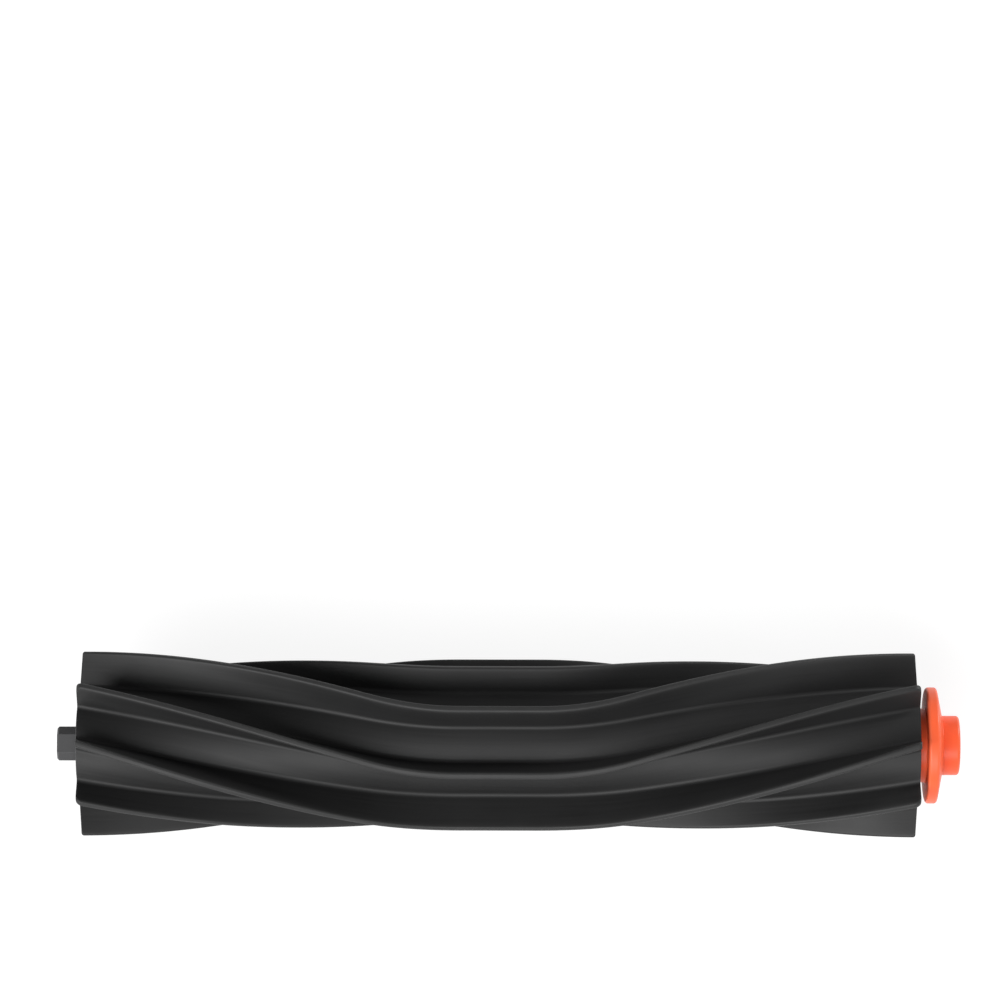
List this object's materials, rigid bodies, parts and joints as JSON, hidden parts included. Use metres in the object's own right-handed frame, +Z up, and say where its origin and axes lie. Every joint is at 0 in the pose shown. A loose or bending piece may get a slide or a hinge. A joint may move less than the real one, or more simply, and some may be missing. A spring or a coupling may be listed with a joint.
{
  "type": "robot vacuum roller brush",
  "caption": "Robot vacuum roller brush: rubber sleeve with tall and short fins in a chevron twist, plastic core, square drive pin at one end and a pull-off ball-bearing cap at the other.",
  "frame": {"origin": "on the roller's axis, halfway along the whole part", "axes": "+X along the axis from the square drive pin to the bearing cap, +Z up as the roller lies at rest"},
  "size_m": [0.1776, 0.0358, 0.0358],
  "materials": {
    "rubber": "satin black moulded rubber",
    "core_plastic": "black moulded plastic",
    "drive_plastic": "dark grey moulded plastic",
    "axle_steel": "ground steel",
    "bearing_steel": "bearing steel",
    "ball_steel": "polished steel",
    "cage_brass": "pressed brass",
    "cap_plastic": "orange moulded plastic, half gloss"
  },
  "bodies": {
    "roller": {"finned_sleeve": "rubber", "roller_core": "core_plastic", "drive_plug": "drive_plastic", "axle_plug": "core_plastic", "axle": "axle_steel"},
    "bearing_hub": {"bearing_inner_ring": "bearing_steel"},
    "ball_set": {"bearing_balls": "ball_steel", "ball_cage": "cage_brass"},
    "cap": {"end_cap": "cap_plastic", "bearing_outer_ring": "bearing_steel", "shield_inboard": "bearing_steel", "shield_outboard": "bearing_steel"}
  },
  "joints": [
    {"name": "cap_pull", "type": "slide", "parent": "roller", "child": "bearing_hub", "axis": [1, 0, 0], "range_m": [0, 0.01]},
    {"name": "cap_spin", "type": "hinge", "parent": "bearing_hub", "child": "cap", "pos_m": [0.07802, 0, 0], "axis": [1, 0, 0], "continuous": true},
    {"name": "cage_spin", "type": "hinge", "parent": "bearing_hub", "child": "ball_set", "pos_m": [0.07802, 0, 0], "axis": [1, 0, 0], "continuous": true}
  ],
  "couplings": [
    {"joint": "cage_spin", "follows": "cap_spin", "ratio": 0.6333}
  ]
}
